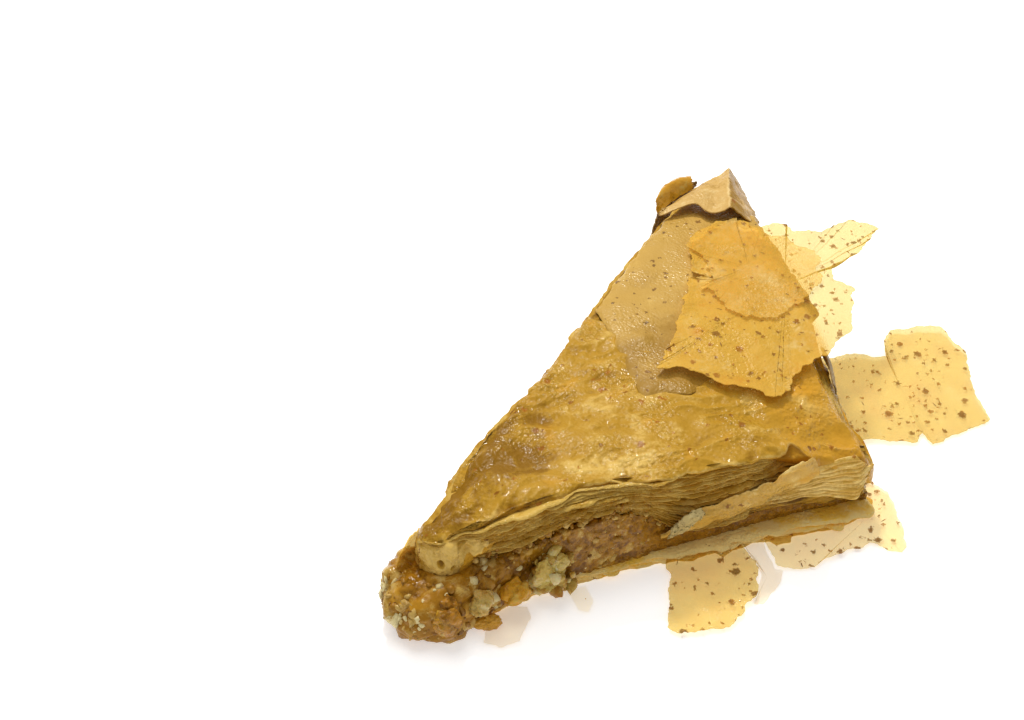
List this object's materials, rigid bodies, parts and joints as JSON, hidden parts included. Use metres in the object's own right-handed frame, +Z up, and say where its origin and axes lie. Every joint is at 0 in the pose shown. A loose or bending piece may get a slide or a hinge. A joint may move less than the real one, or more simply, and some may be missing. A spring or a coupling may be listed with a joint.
{
  "type": "baklava piece",
  "caption": "Triangular piece of syrup-soaked nut pastry lying flat, with layered cut sides, nuts at its tip, a loose sheet on top and fallen flakes beside it.",
  "frame": {"origin": "middle of the bounding box at the underside, which is the plane the piece rests on", "axes": "+X runs along the front cut from the sharp tip to the square corner, +Y away from the front cut, +Z up"},
  "size_m": [0.1205, 0.0916, 0.0228],
  "materials": {
    "bottom_pastry": "moist layered pastry, light brown",
    "nut_filling": "moist chopped nuts in syrup, orange brown and tan",
    "folded_pastry": "moist pale layered pastry",
    "top_pastry": "baked sheets soaked in syrup, golden brown, glossy in patches",
    "loose_sheet": "thin golden sheet with brown flecks, lets light through",
    "floor_flakes": "thin pale yellow flakes with brown flecks, let light through",
    "curled_sheets": "dry tan sheets, satin",
    "nuts": "syrup-coated walnut and almond bits, orange brown to cream",
    "syrup": "clear drip of syrup"
  },
  "bodies": {
    "root": {"bottom_pastry": "bottom_pastry", "nut_filling": "nut_filling", "folded_pastry": "folded_pastry", "top_pastry": "top_pastry", "loose_sheet": "loose_sheet", "golden_floor_flake": "floor_flakes", "clear_floor_flake": "floor_flakes", "corner_floor_flake": "floor_flakes", "side_floor_flake": "floor_flakes", "tip_floor_flap": "curled_sheets", "syrup_drip": "syrup", "back_curl": "curled_sheets", "corner_sheet": "curled_sheets", "tip_curl": "curled_sheets", "tip_walnut": "nuts", "tip_pale_nut": "nuts", "tip_amber_nut": "nuts", "front_nut_cluster": "nuts"}
  },
  "joints": []
}
